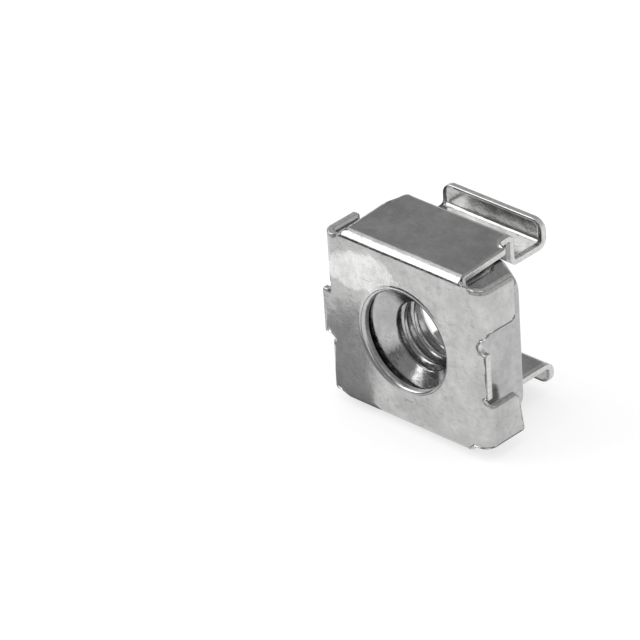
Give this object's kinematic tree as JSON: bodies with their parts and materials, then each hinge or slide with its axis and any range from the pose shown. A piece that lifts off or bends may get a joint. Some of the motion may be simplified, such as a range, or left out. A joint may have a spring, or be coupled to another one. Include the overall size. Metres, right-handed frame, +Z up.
{
  "type": "rack cage nut",
  "caption": "Square threaded nut held loosely in a folded spring-steel cage whose hooked wings clip into a square rack hole.",
  "frame": {"origin": "on the thread's axis, halfway through the nut's thickness", "axes": "+Y along the thread towards the wings and the screw, +X across the nut, +Z up, towards the wing with the longer lip"},
  "size_m": [0.0154, 0.0103, 0.0146],
  "materials": {
    "cage_steel": "bright plated spring steel, with fine scratches and a soft mirror sheen",
    "nut_steel": "bright plated steel, tumbled edges"
  },
  "bodies": {
    "root": {"spring_cage": "cage_steel", "square_nut": "nut_steel"}
  },
  "joints": []
}
